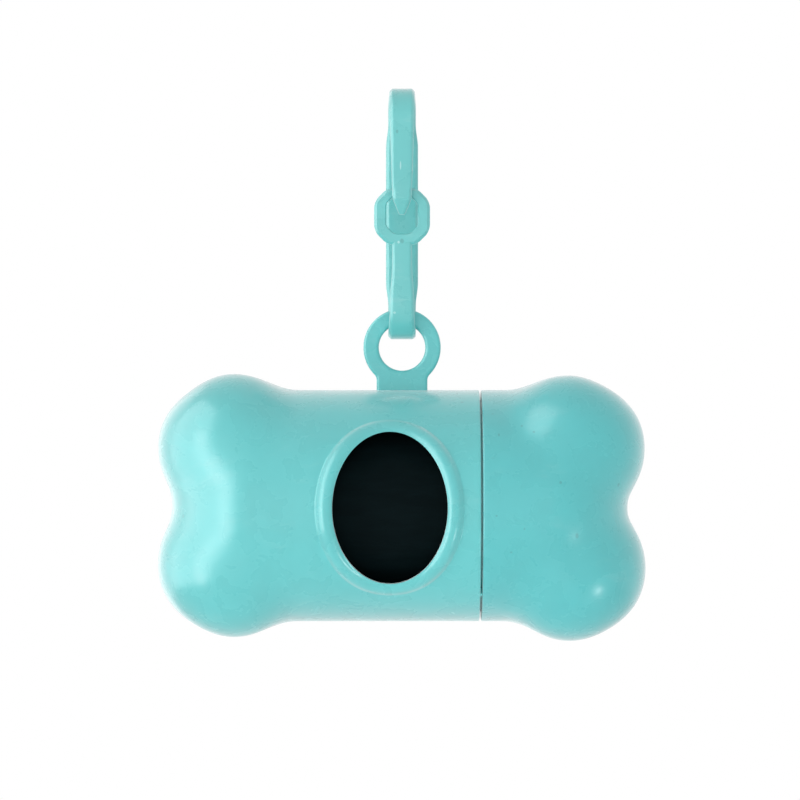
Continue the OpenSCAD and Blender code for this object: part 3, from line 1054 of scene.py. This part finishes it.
class DISPENSER_OT_lead_clip(bpy.types.Operator):
    """Build the lead clip: its body with the catch, and its upper arm, the spring gate"""

    bl_idname = "dispenser.lead_clip"
    bl_label = "Lead clip"

    def execute(self, context):
        look = context.scene.dispenser_clip
        marks = (CLIP_DARK_MARKS, CLIP_PALE_SPOTS_AND_HIGHLIGHTS)
        material = moulded_plastic("clip_plastic", look.color, CLIP_GLOSS, CLIP_MOTTLE, look.scuffs, *marks)
        body = Moulding()
        body.loft(strap_rows(clip_body_path()))
        centre = (0.0, CATCH_HOLE_Z)
        hole = (eight_sided(*CATCH_HOLE, CATCH_HOLE_Z), CATCH_HOLE_BEVEL)
        outline = (eight_sided(*CATCH_OUTLINE, CATCH_Z), CATCH_BEVEL)
        pierced_plate(body, centre, (-BEND_R, 0.0), STRAP_T / 2, hole, outline, arc=1, count=480)
        clip = body.build("clip_moulding", material)
        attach(clip, "clip")
        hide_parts("clip_body")

        arm = Moulding()
        arm.loft(strap_rows(clip_arm_path() + tongue_path()))
        spring = arm.build("clip_spring_arm", material)
        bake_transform(spring)
        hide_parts("clip_gate")
        return {"FINISHED"}


class DISPENSER_OT_bag_roll(bpy.types.Operator):
    """Build the roll of black bags on its cardboard core"""

    bl_idname = "dispenser.bag_roll"
    bl_label = "Bag roll"

    def execute(self, context):
        look = context.scene.dispenser_roll
        roll = Moulding()
        angle = full_turn(192)
        inner_r = CORE_R + 0.04
        skin, first_turn = 0.1, 0.15
        unevenness, groove, overlap, thinness = 0.5, 0.3, 0.02, 0.18
        spread = np.random.default_rng(7)
        bumps = 0.05 * np.sin(5 * angle + 0.7) + 0.04 * np.sin(11 * angle)

        def film_ring(x, radius):
            return ring_at(x, radius + bumps * (radius / ROLL_R) ** 4 - skin, angle, ROLL_Z)

        def end_rings(side):
            rings = []
            edges = np.linspace(inner_r + first_turn, ROLL_R, look.turns + 1)
            for low, high in zip(edges, edges[1:]):
                back = ROLL_HALF_L - skin - unevenness * spread.random()
                thin = (high - low) * thinness
                rings.append(film_ring(side * (back - groove), low + overlap))
                rings.append(film_ring(side * back, low + thin))
                rings.append(film_ring(side * back, high - thin))
            return rings

        left = end_rings(-1)
        right = end_rings(1)
        outer_half, bore_half = ROLL_HALF_L - 0.9, ROLL_HALF_L - 0.8
        middle = [film_ring(x, ROLL_R) for x in np.linspace(-outer_half, outer_half, 41)]
        bore = [film_ring(x, inner_r + skin) for x in (bore_half, -bore_half)]
        roll.loft(left + middle + right[::-1] + bore, loop=True)
        add_outer_leaf(roll)
        rolled_film = roll.build("bag_film_roll", black_film("bag_film", look.film_color))
        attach(rolled_film, "roll")
        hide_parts("bag_roll")

        core = Moulding()
        half, bore_r = ROLL_HALF_L, CORE_R - CORE_WALL
        edge, bore_edge = 0.2, 0.15
        section = [(half - edge, CORE_R), (half, CORE_R - edge)]
        section += [(half, bore_r + bore_edge), (half - bore_edge, bore_r)]
        section += [(-x, r) for x, r in section[::-1]]
        core.loft([ring_at(x, r, full_turn(96), ROLL_Z) for x, r in section], loop=True)
        tube = core.build("roll_core_tube", grey_card("core_card", look.card_color))
        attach(tube, "roll")
        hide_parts("roll_core")
        return {"FINISHED"}


def add_outer_leaf(roll):
    """The last turn of film, which laps over the roll and ends in a slightly lifted edge."""
    half = ROLL_HALF_L - 1.0
    start, end = math.radians(205), math.radians(330)
    outside, inside, buried, wave = 0.02, 0.07, 0.14, 0.04
    out_and_back = [(share, outside) for share in shares(40)]
    out_and_back += [(share, inside) for share in shares(40)[::-1]]
    rows = []
    for x in np.linspace(-half, half, 31):
        row = []
        for share, depth in out_and_back:
            turn = start + (end - start) * share
            lift = wave * math.sin(0.9 * x + 4 * share) * share
            radius = ROLL_R - depth + lift - buried * (1 - share)
            row.append((x, radius * math.cos(turn), radius * math.sin(turn) + ROLL_Z))
        rows.append(row)
    roll.loft(rows)


class DISPENSER_OT_stage(bpy.types.Operator):
    """Set up the floor, the soft lamps, the white surroundings and the camera"""

    bl_idname = "dispenser.stage"
    bl_label = "Stage"

    def execute(self, context):
        look = context.scene.dispenser_stage
        make_floor(look)
        make_sky(context, look.sky_level)
        for name in LAMPS:
            make_lamp(name, look, *LAMPS[name])
        make_camera(context, look.camera_distance)
        return {"FINISHED"}


def make_floor(look):
    piece = Moulding()
    rows = []
    for radius in (700.0, 500.0, 250.0, 60.0):
        x, y = radius * np.cos(full_turn(96)), radius * np.sin(full_turn(96))
        rows.append(np.stack([x, y, np.zeros(96)], axis=1))
    piece.loft(rows, ends=(-1,))
    finish = Finish("floor_finish")
    tone = finish.ramp(finish.noise(14.0), 0.3, 0.7)
    base = finish.mixed(tone, shade(look.floor_color, 0.985), shade(look.floor_color, 1.01))
    material = finish.done({"Base Color": base, "Roughness": 0.9})
    piece.build("floor", material, -look.floor_drop / MM)


def sky_strength(sky, level):
    """The sky's level by direction, as if a dark card stood at the front right of the dispenser."""
    toward = sky.add("ShaderNodeVectorMath", operation="DOT_PRODUCT")
    sky.put(toward.inputs[0], sky.add("ShaderNodeTexCoord").outputs["Generated"])
    sky.put(toward.inputs[1], (math.sin(CARD_AZIMUTH), -math.cos(CARD_AZIMUTH), 0.0))
    facing = sky.calc("MAXIMUM", toward.outputs["Value"], 0.0)
    dark = sky.calc("MULTIPLY", sky.calc("POWER", facing, CARD_FOCUS), -CARD_DEPTH * level)
    return sky.calc("ADD", dark, level)


def make_sky(context, level):
    """Soft light from all round; the camera, mirrored rays and rays through things see plain white."""
    world = bpy.data.worlds.new("white_surroundings")
    world.use_nodes = True
    context.scene.world = world
    sky = Nodes(world.node_tree)
    path = sky.add("ShaderNodeLightPath")
    seen = path.outputs["Is Camera Ray"]
    for kind in ("Is Glossy Ray", "Is Transmission Ray"):
        seen = sky.calc("MAXIMUM", seen, path.outputs[kind])
    mix = sky.add("ShaderNodeMixShader")
    sky.link(seen, mix.inputs[0])
    for socket, strength in ((mix.inputs[1], sky_strength(sky, level)), (mix.inputs[2], 1.0)):
        light = sky.add("ShaderNodeBackground")
        sky.fill(light, {"Color": (1.0, 1.0, 1.0), "Strength": strength})
        sky.link(light.outputs[0], socket)
    sky.link(mix.outputs[0], sky.add("ShaderNodeOutputWorld").inputs["Surface"])


def make_lamp(name, look, azimuth, elevation, distance, size, setting, share, unseen):
    """A soft rectangular lamp that faces the dispenser."""
    lamp = bpy.data.lights.new(name, "AREA")
    lamp.shape = "RECTANGLE"
    lamp.size, lamp.size_y = size
    lamp.energy = share * getattr(look, setting)
    a, e = math.radians(azimuth), math.radians(elevation)
    way = Vector((math.sin(a) * math.cos(e), -math.cos(a) * math.cos(e), math.sin(e)))
    obj = bpy.data.objects.new(name, lamp)
    obj.location = Vector((0.0, 0.0, LAMP_AIM_Z * MM)) + way * distance
    obj.rotation_euler = way.to_track_quat("Z", "Y").to_euler()
    if unseen:
        setattr(obj, unseen, False)
    bpy.context.scene.collection.objects.link(obj)


def make_camera(context, distance):
    """A level camera in front of the window, at the photograph's distance and framing."""
    lens_camera = bpy.data.cameras.new("front_camera")
    lens_camera.sensor_width = SENSOR_W
    lens_camera.lens = SENSOR_W * distance / FRAME_W
    lens_camera.clip_start = 0.01
    lens_camera.clip_end = 20.0
    camera = bpy.data.objects.new("front_camera", lens_camera)
    camera.location = (CAMERA_X * MM, -distance, CAMERA_Z * MM)
    camera.rotation_euler = (math.pi / 2, 0.0, 0.0)
    bpy.context.scene.collection.objects.link(camera)
    context.scene.camera = camera


class DISPENSER_PT_pieces(bpy.types.Panel):
    """Lists the pieces of the dispenser"""

    bl_label = "Bag dispenser"
    bl_idname = "DISPENSER_PT_pieces"
    bl_space_type = "VIEW_3D"
    bl_region_type = "UI"
    bl_category = "Dispenser"

    def draw(self, context):
        for kind in OPERATORS:
            self.layout.operator(kind.bl_idname)


GROUPS = {
    "dispenser_bone": DispenserBone,
    "dispenser_clip": DispenserClip,
    "dispenser_roll": DispenserRoll,
    "dispenser_stage": DispenserStage,
}
OPERATORS = (
    DISPENSER_OT_stage,
    DISPENSER_OT_main_shell,
    DISPENSER_OT_end_cap,
    DISPENSER_OT_lead_clip,
    DISPENSER_OT_bag_roll,
)


def register():
    for name, group in GROUPS.items():
        bpy.utils.register_class(group)
        setattr(bpy.types.Scene, name, PointerProperty(type=group))
    for kind in OPERATORS + (DISPENSER_PT_pieces,):
        bpy.utils.register_class(kind)


def unregister():
    for kind in (DISPENSER_PT_pieces,) + OPERATORS[::-1]:
        bpy.utils.unregister_class(kind)
    for name, group in GROUPS.items():
        delattr(bpy.types.Scene, name)
        bpy.utils.unregister_class(group)


def main():
    register()
    bpy.context.scene.view_settings.view_transform = "Standard"
    for kind in OPERATORS:
        space, name = kind.bl_idname.split(".")
        getattr(getattr(bpy.ops, space), name)()


if __name__ == "__main__":
    main()
